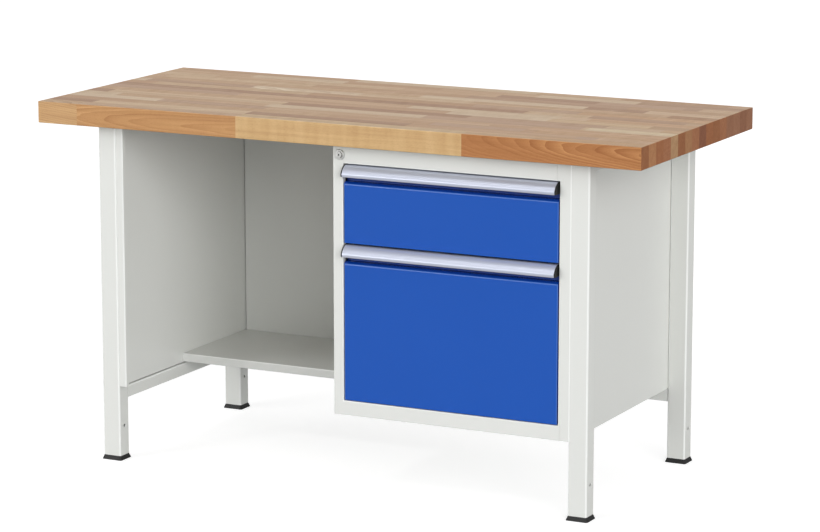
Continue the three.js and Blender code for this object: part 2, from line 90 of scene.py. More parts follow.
# Picking: how near counts as at a place, and how closely a direction follows an axis
NEAR = 0.01 * MM
LEANING = 0.5
ALONG = 0.9
SQUARE = 0.99
WELD = 0.001 * MM

# Sides of round pieces
HEX_SIDES = 6
SMALL_SIDES = 24
HOLE_SIDES = 32
ROUND_SIDES = 48
LOCK_SIDES = 64


# Working by hand: selecting, editing and applying
def activate(piece):
    bpy.ops.object.select_all(action="DESELECT")
    piece.select_set(True)
    bpy.context.view_layer.objects.active = piece


def edit(piece):
    activate(piece)
    bpy.ops.object.mode_set(mode="EDIT")


def leave_edit():
    bpy.ops.object.mode_set(mode="OBJECT")


def select_all():
    bpy.ops.mesh.select_all(action="SELECT")


def settle(piece):
    """Applies the piece's place, turn and size, so that its origin is the scene's."""
    activate(piece)
    bpy.ops.object.transform_apply(location=True, rotation=True, scale=True)


def pick_faces(piece, wanted):
    """In edit mode, selects the faces whose middle and normal are wanted."""
    bpy.ops.mesh.select_mode(type="FACE")
    bpy.ops.mesh.select_all(action="DESELECT")
    mesh = bmesh.from_edit_mesh(piece.data)
    mesh.normal_update()
    for face in mesh.faces:
        if wanted(face.calc_center_median(), face.normal):
            face.select_set(True)
    bmesh.update_edit_mesh(piece.data)


def pick_edges(piece, wanted):
    """In edit mode, selects the edges whose middle and direction are wanted."""
    bpy.ops.mesh.select_mode(type="EDGE")
    bpy.ops.mesh.select_all(action="DESELECT")
    mesh = bmesh.from_edit_mesh(piece.data)
    for edge in mesh.edges:
        start, end = (vertex.co for vertex in edge.verts)
        if wanted((start + end) / 2, (end - start).normalized()):
            edge.select_set(True)
    bmesh.update_edit_mesh(piece.data)


def near(value, target):
    return abs(value - target) < NEAR


def runs(axis):
    """Wants the edges that run along an axis."""
    return lambda at, along: abs(along[axis]) > ALONG


def looks(axis, side=1):
    """Wants the faces that look along an axis, to its plus or its minus side."""
    return lambda at, normal: side * normal[axis] > ALONG


def on_line(corner, axis):
    """Wants the edges that run along an axis through a corner."""
    others = [way for way in (X, Y, Z) if way != axis]

    def wanted(at, along):
        return abs(along[axis]) > SQUARE and all(near(at[way], corner[way]) for way in others)

    return wanted


def extrude(offset):
    bpy.ops.mesh.extrude_region_move(TRANSFORM_OT_translate={"value": offset})


def inset(width, depth=0):
    bpy.ops.mesh.inset(thickness=width, depth=depth)


def resize(factors, centre):
    bpy.ops.transform.resize(value=factors, center_override=centre)


def weld(reach=WELD):
    select_all()
    bpy.ops.mesh.remove_doubles(threshold=reach)


def unit(axis):
    """A step of one along an axis."""
    step = Vector((0, 0, 0))
    step[axis] = 1
    return step


def score(axis, level):
    """Divides all faces at a level of an axis."""
    select_all()
    bpy.ops.mesh.bisect(plane_co=unit(axis) * level, plane_no=unit(axis))


def open_faces(piece, wanted):
    pick_faces(piece, wanted)
    bpy.ops.mesh.delete(type="FACE")


def push_faces(piece, wanted, offset):
    pick_faces(piece, wanted)
    extrude(offset)


def draw_out(piece, wanted, offset):
    """Carries the sheet on from the wanted edges."""
    pick_edges(piece, wanted)
    extrude(offset)


def shift_edges(piece, wanted, offset):
    pick_edges(piece, wanted)
    bpy.ops.transform.translate(value=offset)


def roll(piece, wanted, width=FOLD, steps=FOLD_STEPS):
    """Rounds the wanted edges to a bend."""
    pick_edges(piece, wanted)
    bpy.ops.mesh.bevel(offset=width, segments=steps, affect="EDGES", clamp_overlap=True)


def apply_modifier(piece, kind, **settings):
    activate(piece)
    modifier = piece.modifiers.new(kind.title(), kind)
    for setting, value in settings.items():
        setattr(modifier, setting, value)
    bpy.ops.object.modifier_apply(modifier=modifier.name)


def thicken(piece, wall=SHEET):
    """Gives an outer skin its wall, grown inwards."""
    apply_modifier(piece, "SOLIDIFY", thickness=wall, offset=-1, use_even_offset=True)


def ease(piece, width=RIM_EASE, steps=EASE_STEPS, angle=EASE_ANGLE):
    """Rounds the sharp edges a little, as paint or tumbling does."""
    apply_modifier(
        piece, "BEVEL", width=width, segments=steps, limit_method="ANGLE", angle_limit=math.radians(angle)
    )


def combine(piece, other, operation):
    apply_modifier(piece, "BOOLEAN", operation=operation, solver="EXACT", object=other)
    bpy.data.objects.remove(other)


def cut(piece, tool):
    combine(piece, tool, "DIFFERENCE")


def named(name, size=(1, 1, 1)):
    """Names the piece that was just added, gives it its size and settles it."""
    piece = bpy.context.object
    piece.name = name
    piece.scale = size
    settle(piece)
    return piece


def plate(name, middle, turn, length, width):
    """A flat skin without a wall."""
    bpy.ops.mesh.primitive_plane_add(size=1, location=middle, rotation=turn)
    return named(name, (length, width, 1))


def slab(name, middle, size, turn=(0, 0, 0)):
    """A block turned about its middle."""
    bpy.ops.mesh.primitive_cube_add(size=1, location=middle, rotation=turn)
    return named(name, size)


def block(name, low, high):
    """A block that fills the box from low to high."""
    low, high = Vector(low), Vector(high)
    return slab(name, (low + high) / 2, high - low)


TURNS = {X: (0, math.pi / 2, 0), Y: (-math.pi / 2, 0, 0), Z: (0, 0, 0)}


def rod(name, axis, middle, radius, start, end, sides=ROUND_SIDES):
    """A round bar along an axis, from start to end on that axis."""
    place = Vector(middle)
    place[axis] = (start + end) / 2
    bpy.ops.mesh.primitive_cylinder_add(
        vertices=sides, radius=radius, depth=end - start, location=place, rotation=TURNS[axis]
    )
    return named(name)


def middle_of(node):
    low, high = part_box(node)
    return (low + high) / 2


def finish_piece(piece, slot, *cad_nodes):
    """Shades the piece, gives it its finish and ties it to the body of the CAD nodes it stands for."""
    activate(piece)
    bpy.ops.object.shade_smooth_by_angle(angle=math.radians(SMOOTH_ANGLE))
    apply_modifier(piece, "WEIGHTED_NORMAL", keep_sharp=True)
    piece.data.materials.clear()
    piece.data.materials.append(FINISHES[slot])
    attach(piece, frame["nodes"][cad_nodes[0]]["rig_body"])
    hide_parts(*cad_nodes)


def copied(piece, name, offset):
    """A copy of a piece, with a mesh of its own, moved by an offset."""
    activate(piece)
    bpy.ops.object.duplicate()
    twin = bpy.context.object
    twin.name = name
    bpy.ops.transform.translate(value=offset)
    settle(twin)
    return twin


def turn_over(piece, middle):
    """Mirrors a piece from left to right about an upright plane."""
    edit(piece)
    select_all()
    resize((-1, 1, 1), (middle, 0, 0))
    bpy.ops.mesh.flip_normals()
    leave_edit()


def repeat(piece, ending, slot, first, *others):
    """Copies the piece made for the first node to the other nodes, and finishes them all."""
    first_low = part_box(first)[0]
    for node in others:
        low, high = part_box(node)
        twin = copied(piece, node + ending, (0, low.y - first_low.y, low.z - first_low.z))
        if not near(low.x, first_low.x):
            turn_over(twin, (first_low.x + high.x) / 2)
        finish_piece(twin, slot, node)
    finish_piece(piece, slot, first)


def folded_skin(name, path, axis, span, fold=FOLD):
    """The outer skin of a sheet, folded along a path of corners and as wide as span along an axis."""
    corners = [Vector(corner) for corner in path]
    along = corners[1] - corners[0]
    run, across = along.normalized(), unit(axis)
    turn = Matrix((run, across, run.cross(across))).transposed()
    middle = (corners[0] + corners[1]) / 2
    middle[axis] = sum(span) / 2
    piece = plate(name, middle, turn.to_euler(), along.length, span[1] - span[0])
    edit(piece)
    for corner, following in zip(corners[1:], corners[2:]):
        draw_out(piece, on_line(corner, axis), following - corner)
    for corner in corners[1:-1]:
        roll(piece, on_line(corner, axis), fold)
    leave_edit()
    return piece


def folded(name, path, axis, span, wall=SHEET, fold=FOLD):
    """A folded sheet with its wall."""
    piece = folded_skin(name, path, axis, span, fold)
    thicken(piece, wall)
    return piece


# Wood top
TOP_EASE = 1.8 * MM


def make_worktop():
    board = block("worktop_board", *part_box("worktop"))
    edit(board)
    roll(board, lambda at, along: True, TOP_EASE)
    leave_edit()
    finish_piece(board, "beech", "worktop")


# Tube frame
def tube(name, node, axis):
    """A square tube as large as the node's box, open at both ends of an axis."""
    piece = block(name, *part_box(node))
    edit(piece)
    open_faces(piece, lambda at, normal: abs(normal[axis]) > ALONG)
    roll(piece, runs(axis), TUBE_CORNER, TUBE_STEPS)
    leave_edit()
    thicken(piece, TUBE_WALL)
    return piece


LEG_HOLE_RADIUS = 4 * MM
LEG_HOLE_HEIGHT = 80 * MM


def make_legs():
    nodes = ["leg_" + corner for corner in CORNERS]
    low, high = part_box(nodes[0])
    middle = middle_of(nodes[0])
    middle.z = LEG_HOLE_HEIGHT
    leg = tube(nodes[0] + "_tube", nodes[0], Z)
    cut(leg, rod("hole", X, middle, LEG_HOLE_RADIUS, low.x - CUT_PAST, high.x + CUT_PAST, HOLE_SIDES))
    ease(leg)
    repeat(leg, "_tube", "grey_paint", *nodes)


FOOT_HEIGHT = 10 * MM
FOOT_RIM = 1 * MM
FOOT_EASE_ANGLE = 30
SPIGOT_INSET = 2.8 * MM


def make_feet():
    nodes = ["foot_" + corner for corner in CORNERS]
    low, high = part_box(nodes[0])
    leg_low, leg_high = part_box("leg_" + CORNERS[0])
    foot = block(nodes[0] + "_moulding", low, (high.x, high.y, FOOT_HEIGHT))
    middle = (low + high) / 2
    narrow_x = (leg_high.x - leg_low.x + FOOT_RIM) / (high.x - low.x)
    narrow_y = (leg_high.y - leg_low.y + FOOT_RIM) / (high.y - low.y)
    edit(foot)
    pick_faces(foot, looks(Z))
    resize((narrow_x, narrow_y, 1), (middle.x, middle.y, FOOT_HEIGHT))
    roll(foot, lambda at, along: abs(along.z) > LEANING, TUBE_CORNER + FOOT_RIM, WIDE_STEPS)
    pick_faces(foot, looks(Z))
    inset(SPIGOT_INSET)
    extrude((0, 0, high.z - FOOT_HEIGHT))
    leave_edit()
    ease(foot, MOULD_EASE, angle=FOOT_EASE_ANGLE)
    repeat(foot, "_moulding", "black_plastic", *nodes)


SCREW_HOLE_RADIUS = 3.3 * MM


def make_rails():
    for node, axis in (("rail_lower_left", Y), ("rail_lower_rear", X)):
        rail = tube(node + "_tube", node, axis)
        ease(rail)
        finish_piece(rail, "grey_paint", node)
    for side in SIDES:
        node = "rail_top_" + side
        low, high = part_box(node)
        rail = tube(node + "_tube", node, Y)
        start, end = low.z - CUT_PAST, high.z + CUT_PAST
        for corner in CORNERS:
            if corner.endswith(side):
                middle = middle_of("worktop_screw_" + corner)
                cut(rail, rod("hole", Z, middle, SCREW_HOLE_RADIUS, start, end, SMALL_SIDES))
        ease(rail)
        finish_piece(rail, "grey_paint", node)


SCREW_HEAD_HEIGHT = 4 * MM
SCREW_SHANK_RADIUS = 3 * MM


def make_screws():
    nodes = ["worktop_screw_" + corner for corner in CORNERS]
    low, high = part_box(nodes[0])
    radius = (high.y - low.y) / 2
    head_top = low.z + SCREW_HEAD_HEIGHT
    screw = rod(nodes[0] + "_hex", Z, middle_of(nodes[0]), radius, low.z, head_top, HEX_SIDES)
    edit(screw)
    pick_faces(screw, looks(Z))
    inset(radius * math.cos(math.pi / HEX_SIDES) - SCREW_SHANK_RADIUS)
    extrude((0, 0, high.z - head_top))
    leave_edit()
    ease(screw, SOFT_EASE)
    repeat(screw, "_hex", "zinc_steel", *nodes)


# Folded panels
FLANGE_LIP = 12 * MM
LEDGE = 28 * MM
BACK_LAP = 6 * MM


def make_side_panel():
    """A panel with a folded front edge, and a ledge that lies on the lower rail between the legs."""
    low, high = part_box("side_panel_left")
    rail_low, rail_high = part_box("rail_lower_left")
    outer = low.x + LEDGE
    path = (
        (outer, high.y + BACK_LAP, 0), (outer, low.y, 0),
        (high.x, low.y, 0), (high.x, low.y + FLANGE_LIP, 0),
    )

    def ledge_line(at, along):
        at_foot = near(at.x, outer) and near(at.z, low.z)
        return at_foot and abs(along.y) > ALONG and rail_low.y < at.y < rail_high.y

    panel = folded_skin("side_panel_left_sheet", path, Z, (low.z, high.z))
    edit(panel)
    for level in (rail_low.y, rail_high.y):
        score(Y, level)
    draw_out(panel, ledge_line, (-LEDGE, 0, 0))
    roll(panel, ledge_line)
    leave_edit()
    thicken(panel)
    ease(panel)
    finish_piece(panel, "grey_paint", "side_panel_left")


LEG_LAP = 2.4 * MM
STILE_FOLD = 2 * MM
REAR_GAP = 4 * MM
SEAM = 0.7 * MM
TOP_SEAM = 6 * MM
BOTTOM_SEAM = 4 * MM
LOCK_HOLE_RADIUS = 9.3 * MM


def make_cabinet_frame():
    """The front frame round the drawers, with both walls and the top fold turned back from it."""
    left_low, left_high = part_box("cabinet_left_side")
    right_low, right_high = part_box("cabinet_right_side")
    rail_low, rail_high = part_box("cabinet_top_rail")
    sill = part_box("cabinet_floor")[1].z
    front, rear = left_low.y, right_high.y - REAR_GAP
    left, right = left_low.x, right_high.x + LEG_LAP
    bottom, top = left_low.z, left_high.z

    def across_opening(at):
        return left_high.x < at.x < right_low.x

    def up_opening(at):
        return sill < at.z < rail_low.z

    def round_opening(at, along):
        at_side = near(at.x, left_high.x) or near(at.x, right_low.x)
        at_level = near(at.z, sill) or near(at.z, rail_low.z)
        on_rim = (at_side and up_opening(at)) or (at_level and across_opening(at))
        return near(at.y, front) and on_rim

    def fold_of(place):
        return lambda at, along: near(at.x, place) and near(at.y, front) and abs(along.z) > ALONG

    def top_fold(at, along):
        return near(at.z, top) and near(at.y, front) and across_opening(at)

    middle = ((left + right) / 2, front, (bottom + top) / 2)
    cabinet = plate("cabinet_frame", middle, (math.pi / 2, 0, 0), right - left, top - bottom)
    edit(cabinet)
    for place in (left_high.x, right_low.x):
        score(X, place)
    for level in (sill, rail_low.z):
        score(Z, level)
    open_faces(cabinet, lambda at, normal: across_opening(at) and up_opening(at))
    folds = (
        (round_opening, front + FLANGE_LIP, FOLD), (fold_of(left), left_high.y, FOLD),
        (fold_of(right), rear, STILE_FOLD), (top_fold, rail_high.y, FOLD),
    )
    for wanted, reach, fold in folds:
        draw_out(cabinet, wanted, (0, reach - front, 0))
    shift_edges(cabinet, lambda at, along: near(at.x, right) and near(at.y, rear), (-LEG_LAP, 0, 0))
    for wanted, reach, fold in folds:
        roll(cabinet, wanted, fold)
    leave_edit()
    thicken(cabinet)
    ease(cabinet)

    for seam_x, seam_bottom, seam_top in (
        (right_low.x - TOP_SEAM, rail_low.z + FOLD, top), (right_low.x + BOTTOM_SEAM, bottom, sill),
    ):
        seam_low = (seam_x, front - CUT_PAST, seam_bottom)
        cut(cabinet, block("seam", seam_low, (seam_x + SEAM, front + SEAM, seam_top + CUT_PAST)))
    lock_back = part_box("lock_housing")[1].y + CUT_PAST
    lock_hole = rod("hole", Y, middle_of("lock_housing"), LOCK_HOLE_RADIUS, front - CUT_PAST, lock_back)
    cut(cabinet, lock_hole)
    finish_piece(cabinet, "grey_paint", "cabinet_left_side", "cabinet_right_side", "cabinet_top_rail")


TRAY_FOLD = 15 * MM


def make_cabinet_floor():
    low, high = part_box("cabinet_floor")
    front = low.y + SHEET + SEAM
    lip = low.z + TRAY_FOLD
    path = ((0, front, lip), (0, front, low.z), (0, high.y, low.z), (0, high.y, lip))
    tray = folded("cabinet_floor_tray", path, X, (low.x, high.x))
    ease(tray)
    finish_piece(tray, "grey_paint", "cabinet_floor")


BACK_HALF = 566.5 * MM


def make_back_panel():
    """A pan that stands forward between the rear legs, with a lip behind each leg."""
    low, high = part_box("back_panel")
    lip_y = high.y - SHEET
    panel = block("back_panel_pan", (-BACK_HALF, low.y, low.z), (BACK_HALF, lip_y, high.z))
    edit(panel)
    open_faces(panel, looks(Y))
    for side in (-1, 1):
        lip_start = Vector((side * BACK_HALF, lip_y, 0))
        draw_out(panel, on_line(lip_start, Z), (side * (high.x - BACK_HALF), 0, 0))
    roll(panel, lambda at, along: near(abs(at.x), BACK_HALF) or near(at.y, low.y))
    leave_edit()
    thicken(panel)
    ease(panel)
    finish_piece(panel, "grey_paint", "back_panel")


def make_shelf():
    """A tray turned over, with its front lip folded back underneath."""
    low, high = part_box("shelf")
    lip = on_line(low, X)
    shelf = block("shelf_tray", low, high)
    edit(shelf)
    open_faces(shelf, looks(Z, -1))
    draw_out(shelf, lip, (0, TRAY_FOLD, 0))
    roll(shelf, lambda at, along: near(at.z, high.z) or abs(along.z) > ALONG or lip(at, along))
    leave_edit()
    thicken(shelf)
    ease(shelf)
    finish_piece(shelf, "grey_paint", "shelf")


def make_uprights():
    nodes = ["upright_" + corner for corner in CORNERS]
    low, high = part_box(nodes[0])
    path = ((low.x, low.y, 0), (high.x, low.y, 0), (high.x, high.y, 0), (low.x, high.y, 0))
    upright = folded(nodes[0] + "_channel", path, Z, (low.z, high.z))
    ease(upright)
    repeat(upright, "_channel", "grey_paint", *nodes)


# Drawers
RECESS = 17.5 * MM
RECESS_SLOPE = 5.4 * MM
RECESS_RISE = 0.8 * MM
BEND_DROP = 42 * MM
FRONT_BEND = 2.2 * MM
FRONT_CREST = 1.2 * MM
FRONT_CORNER = 3.4 * MM
FRONT_EASE_ANGLE = 50


def make_drawer_front(name):
    """A folded front: the face bends back to a slope, a ledge and the wall behind the grip."""
    node = name + "_drawer_front"
    low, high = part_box(node)
    bend = Vector((0, low.y, high.z - BEND_DROP))
    crest = bend + Vector((0, RECESS_SLOPE, RECESS_SLOPE))
    ledge = Vector((0, low.y + RECESS, crest.z + RECESS_RISE))
    front = block(node + "_pan", low, (high.x, high.y, bend.z))
    edit(front)
    push_faces(front, looks(Z), (0, 0, RECESS_SLOPE))
    shift_edges(front, on_line((0, bend.y, crest.z), X), (0, crest.y - bend.y, 0))
    push_faces(front, lambda at, normal: normal.z > SQUARE, (0, 0, RECESS_RISE))
    shift_edges(front, on_line((0, crest.y, ledge.z), X), (0, ledge.y - crest.y, 0))
    push_faces(front, lambda at, normal: normal.z > SQUARE and at.y > ledge.y, (0, 0, high.z - ledge.z))
    open_faces(front, looks(Y))
    for corner, width in ((bend, FRONT_BEND), (crest, FRONT_CREST), (ledge, FRONT_CREST)):
        roll(front, on_line(corner, X), width, WIDE_STEPS)
    roll(front, lambda at, along: abs(along.z) > ALONG and near(at.y, low.y), FRONT_CORNER, WIDE_STEPS)
    leave_edit()
    thicken(front)
    ease(front, SOFT_EASE, TIGHT_STEPS, FRONT_EASE_ANGLE)
    finish_piece(front, "blue_paint", node)


HEM = 7 * MM


def make_drawer_box(name):
    """An open box with a hem turned inwards round its rim."""
    node = name + "_drawer_box"
    low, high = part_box(node)
    size = high - low
    middle = (low + high) / 2

    def rim(at):
        at_end = near(abs(at.x - middle.x), size.x / 2) or near(abs(at.y - middle.y), size.y / 2)
        return near(at.z, high.z) and at_end

    box = block(node + "_sheet", low, high)
    edit(box)
    open_faces(box, looks(Z))
    draw_out(box, lambda at, along: near(at.z, high.z), (0, 0, 0))
    resize((1 - 2 * HEM / size.x, 1 - 2 * HEM / size.y, 1), (middle.x, middle.y, high.z))
    roll(box, lambda at, along: near(at.z, low.z) or abs(along.z) > ALONG or rim(at))
    leave_edit()
    thicken(box)
    ease(box)
    finish_piece(box, "grey_paint", node)


# Grip strip: sizes as drawn from the drawer fronts' face and the strip's top edge
FACE_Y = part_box("upper_drawer_front")[0].y
GRIP_TOP_SETBACK = 2 * MM
GRIP_REACH = 17 * MM
GRIP_DROP = 19.5 * MM
GRIP_LIP_DROP = 25.5 * MM
GRIP_LIP_TUCK = 1.5 * MM
GRIP_RADIUS = 32 * MM
GRIP_STEPS = 16
GRIP_WEB_DROP = 24 * MM
GRIP_WALL = 2.5 * MM
GRIP_BACK = RECESS - 0.3 * MM
GRIP_HEEL = 1 * MM
GRIP_NOSE = 2 * MM


def grip_skin(name, low, high):
    """The outer skin of the grip strip: a flat top, an arc out and down, and a lip."""
    top = high.z
    start = Vector((0, FACE_Y + GRIP_TOP_SETBACK, top))
    end = Vector((0, FACE_Y - GRIP_REACH, top - GRIP_DROP))
    back_y = FACE_Y + GRIP_BACK
    middle = ((low.x + high.x) / 2, (start.y + back_y) / 2, top)
    chord = end - start
    sag = math.sqrt(GRIP_RADIUS ** 2 - chord.length_squared / 4)
    centre = (start + end) / 2 + Vector((0, -chord.z, chord.y)).normalized() * sag
    angle = 2 * math.asin(chord.length / 2 / GRIP_RADIUS)
    piece = plate(name, middle, (0, 0, 0), high.x - low.x, back_y - start.y)
    edit(piece)
    pick_edges(piece, on_line(start, X))
    bpy.ops.mesh.spin(steps=GRIP_STEPS, angle=angle, center=centre, axis=(-1, 0, 0))
    extrude((0, GRIP_LIP_TUCK, GRIP_DROP - GRIP_LIP_DROP))
    leave_edit()
    return piece


def make_grips():
    nodes = [name + "_drawer_grip" for name in DRAWERS]
    low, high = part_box(nodes[0])
    heel = on_line((0, FACE_Y + GRIP_BACK, high.z), X)
    nose = on_line((0, FACE_Y - GRIP_REACH, high.z - GRIP_DROP), X)
    grip = grip_skin(nodes[0] + "_strip", low, high)
    edit(grip)
    draw_out(grip, heel, (0, 0, -GRIP_WEB_DROP))
    roll(grip, heel, GRIP_HEEL, TIGHT_STEPS)
    roll(grip, nose, GRIP_NOSE)
    weld()
    leave_edit()
    thicken(grip, GRIP_WALL)
    ease(grip, SOFT_EASE)
    repeat(grip, "_strip", "grip_aluminium", *nodes)


def make_grip_caps():
    nodes = [name + "_grip_cap_" + side for name in DRAWERS for side in SIDES]
    low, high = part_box(nodes[0])
    lip_end = Vector((0, FACE_Y - GRIP_REACH + GRIP_LIP_TUCK, high.z - GRIP_LIP_DROP))
    cap = grip_skin(nodes[0] + "_moulding", low, high)
    edit(cap)
    draw_out(cap, on_line(lip_end, X), (0, FACE_Y + GRIP_BACK - lip_end.y, 0))
    extrude((0, 0, GRIP_LIP_DROP))
    weld()
    bpy.ops.mesh.fill_holes(sides=0)
    select_all()
    bpy.ops.mesh.normals_make_consistent(inside=False)
    leave_edit()
    ease(cap, MOULD_EASE)
    repeat(cap, "_moulding", "black_plastic", *nodes)


SLIDE_WALL = 1.2 * MM
SLIDE_FOLD = 1.3 * MM


def make_slides(member):
    """Channels of the ball slides: the drawer's own member opens outwards, the others inwards."""
    nodes = [name + "_slide_" + side + "_" + member for name in DRAWERS for side in SIDES]
    low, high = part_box(nodes[0])
    path = [(high.x, 0, low.z), (low.x, 0, low.z), (low.x, 0, high.z), (high.x, 0, high.z)]
    if member == "drawer":
        path = [(low.x, 0, high.z), (high.x, 0, high.z), (high.x, 0, low.z), (low.x, 0, low.z)]
    slide = folded(nodes[0] + "_channel", path, Y, (low.y, high.y), SLIDE_WALL, SLIDE_FOLD)
    ease(slide, FINE_EASE)
    repeat(slide, "_channel", "zinc_steel", *nodes)


CATCH_CORNER = 1.2 * MM
CATCH_EASE = 0.4 * MM


def make_catches():
    nodes = [name + "_drawer_catch" for name in DRAWERS]
    catch = block(nodes[0] + "_stop", *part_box(nodes[0]))
    edit(catch)
    roll(catch, runs(Z), CATCH_CORNER, TIGHT_STEPS)
    leave_edit()
    ease(catch, CATCH_EASE)
    repeat(catch, "_stop", "zinc_steel", *nodes)


# Lock
LOCK_FLANGE = 3 * MM
LOCK_SEAT = 0.3 * MM
LOCK_FLANGE_EASE = 1.4 * MM
LOCK_BODY_RADIUS = 9 * MM
LOCK_BORE = 7.3 * MM


def make_lock_housing():
    low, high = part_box("lock_housing")
    middle = middle_of("lock_housing")
    radius = (high.x - low.x) / 2
    back = low.y + LOCK_FLANGE - LOCK_SEAT
    housing = rod("lock_housing_turned", Y, middle, radius, low.y, back, LOCK_SIDES)
    edit(housing)
    pick_faces(housing, looks(Y))
    inset(radius - LOCK_BODY_RADIUS)
    extrude((0, high.y - back, 0))
    roll(housing, lambda at, along: near(at.y, low.y), LOCK_FLANGE_EASE)
    leave_edit()
    cut(housing, rod("bore", Y, middle, LOCK_BORE, low.y - CUT_PAST, high.y + CUT_PAST, LOCK_SIDES))
    ease(housing)
    finish_piece(housing, "lock_nickel", "lock_housing")


PLUG_SETBACK = 1 * MM
PLUG_RIM = 0.8 * MM
PLUG_STEP = 0.3 * MM
PLUG_DISH = 0.2 * MM
PLUG_WELD = 0.02 * MM
PLUG_EASE = 0.2 * MM
KEYWAY_WIDTH = 1.4 * MM
KEYWAY_HEIGHT = 5 * MM
KEYWAY_DEPTH = 12 * MM
KEY_ROUND = 1.7 * MM


def make_lock_barrel():
    """The plug: a set-back face with a raised rim, and the keyhole."""
    low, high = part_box("lock_barrel")
    middle = middle_of("lock_barrel")
    radius = (high.x - low.x) / 2
    key_start, key_end = low.y - CUT_PAST, low.y + KEYWAY_DEPTH
    barrel = rod("lock_barrel_turned", Y, middle, radius, low.y + PLUG_SETBACK, high.y, LOCK_SIDES)
    edit(barrel)
    pick_faces(barrel, lambda at, normal: normal.y < -SQUARE)
    inset(PLUG_RIM)
    inset(PLUG_STEP, -PLUG_DISH)
    leave_edit()
    slot_low = (middle.x - KEYWAY_WIDTH / 2, key_start, middle.z - KEYWAY_HEIGHT / 2)
    slot_high = (middle.x + KEYWAY_WIDTH / 2, key_end, middle.z + KEYWAY_HEIGHT / 2)
    cut(barrel, block("keyway", slot_low, slot_high))
    cut(barrel, rod("keyhole", Y, middle, KEY_ROUND, key_start, key_end, SMALL_SIDES))
    edit(barrel)
    weld(PLUG_WELD)
    leave_edit()
    ease(barrel, PLUG_EASE)
    finish_piece(barrel, "lock_nickel", "lock_barrel")


CAM_ARM = 10 * MM
CAM_WIDTH = 10 * MM
CAM_THICKNESS = 2 * MM
CAM_END = CAM_WIDTH / 2 * 0.98
CAM_END_STEPS = 8
CAM_PIN_RADIUS = 2 * MM
CAM_TURN = math.radians(45)


def make_lock_cam():
    """A lever on the end of the plug, with the pin that lifts the bar."""
    low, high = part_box("lock_cam")
    axis = middle_of("lock_barrel")
    pin = Vector((axis.x + CAM_ARM * math.cos(CAM_TURN), 0, axis.z - CAM_ARM * math.sin(CAM_TURN)))
    lever_y = low.y + CAM_THICKNESS / 2
    middle = ((axis.x + pin.x) / 2, lever_y, (axis.z + pin.z) / 2)
    size = (CAM_ARM + CAM_WIDTH, CAM_THICKNESS, CAM_WIDTH)
    cam = slab("lock_cam_lever", middle, size, (0, CAM_TURN, 0))
    edit(cam)
    roll(cam, runs(Y), CAM_END, CAM_END_STEPS)
    leave_edit()
    combine(cam, rod("pin", Y, pin, CAM_PIN_RADIUS, lever_y, high.y, SMALL_SIDES), "UNION")
    ease(cam, FINE_EASE)
    finish_piece(cam, "zinc_steel", "lock_cam")


BAR_RIGHT = 16 * MM
BAR_HEAD_RIGHT = 29 * MM
BAR_HEAD_HEIGHT = 20 * MM
HOOK_HEIGHT = 8 * MM
HOOK_RISE = 25.5 * MM
PIN_SLOT_HALF = 2.55 * MM
PIN_PLAY = 0.55 * MM


def make_lock_bar():
    """A flat bar with a head that holds the pin's slot, and a hook for each drawer."""
    low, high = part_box("lock_bar")
    axis_x = middle_of("lock_barrel").x
    head_bottom = high.z - BAR_HEAD_HEIGHT
    bands = [(head_bottom, high.z, BAR_HEAD_RIGHT - BAR_RIGHT)]
    for name in DRAWERS:
        hook = middle_of(name + "_slide_left_cabinet").z + HOOK_RISE
        bands.append((hook, hook + HOOK_HEIGHT, high.x - BAR_RIGHT))
    bar = block("lock_bar_flat", low, (BAR_RIGHT, high.y, high.z))
    edit(bar)
    for bottom, top, reach in bands:
        score(Z, bottom)
        if top < high.z:
            score(Z, top)
    for bottom, top, reach in bands:
        pick_faces(bar, lambda at, normal: normal.x > ALONG and near(at.x, BAR_RIGHT) and bottom < at.z < top)
        extrude((reach, 0, 0))
    leave_edit()
    slot_z = (head_bottom + high.z) / 2
    slot_left = axis_x + CAM_ARM * math.cos(CAM_TURN) - PIN_SLOT_HALF - PIN_PLAY
    slot_right = axis_x + CAM_ARM + PIN_SLOT_HALF + PIN_PLAY
    slot_low = (slot_left, low.y - CUT_PAST, slot_z - PIN_SLOT_HALF)
    cut(bar, block("slot", slot_low, (slot_right, high.y + CUT_PAST, slot_z + PIN_SLOT_HALF)))
    ease(bar)
    finish_piece(bar, "zinc_steel", "lock_bar")


GUIDE_PLAY = 0.4 * MM


def make_guides():
    nodes = ["lock_bar_guide_lower", "lock_bar_guide_upper"]
    low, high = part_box(nodes[0])
    bar_low, bar_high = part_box("lock_bar")
    guide = block(nodes[0] + "_moulding", low, high)
    passage_low = (bar_low.x - GUIDE_PLAY, bar_low.y - GUIDE_PLAY, low.z - CUT_PAST)
    passage_high = (BAR_RIGHT + GUIDE_PLAY, bar_high.y + GUIDE_PLAY, high.z + CUT_PAST)
    cut(guide, block("passage", passage_low, passage_high))
    ease(guide, SOFT_EASE)
    repeat(guide, "_moulding", "black_plastic", *nodes)


# Finishes: nodes and small helpers
def feed(tree, socket, value):
    if isinstance(value, bpy.types.NodeSocket):
        tree.links.new(value, socket)
    else:
        socket.default_value = value


def feed_all(tree, node, inputs):
    for socket, value in inputs.items():
        feed(tree, node.inputs[socket], value)


def add_node(tree, kind, inputs=None, **settings):
    made = tree.nodes.new("ShaderNode" + kind)
    for setting, value in settings.items():
        setattr(made, setting, value)
    feed_all(tree, made, inputs or {})
    return made


def coordinates(tree, kind):
    return add_node(tree, "TexCoord").outputs[kind]


def axes_of(tree, vector):
    return add_node(tree, "SeparateXYZ", {"Vector": vector}).outputs


def scaled(tree, place, scale):
    return add_node(tree, "Mapping", {"Vector": place, "Scale": scale}).outputs[0]


def maths(tree, operation, *values):
    return add_node(tree, "Math", dict(enumerate(values)), operation=operation).outputs[0]


def times(tree, first, second):
    return maths(tree, "MULTIPLY", first, second)


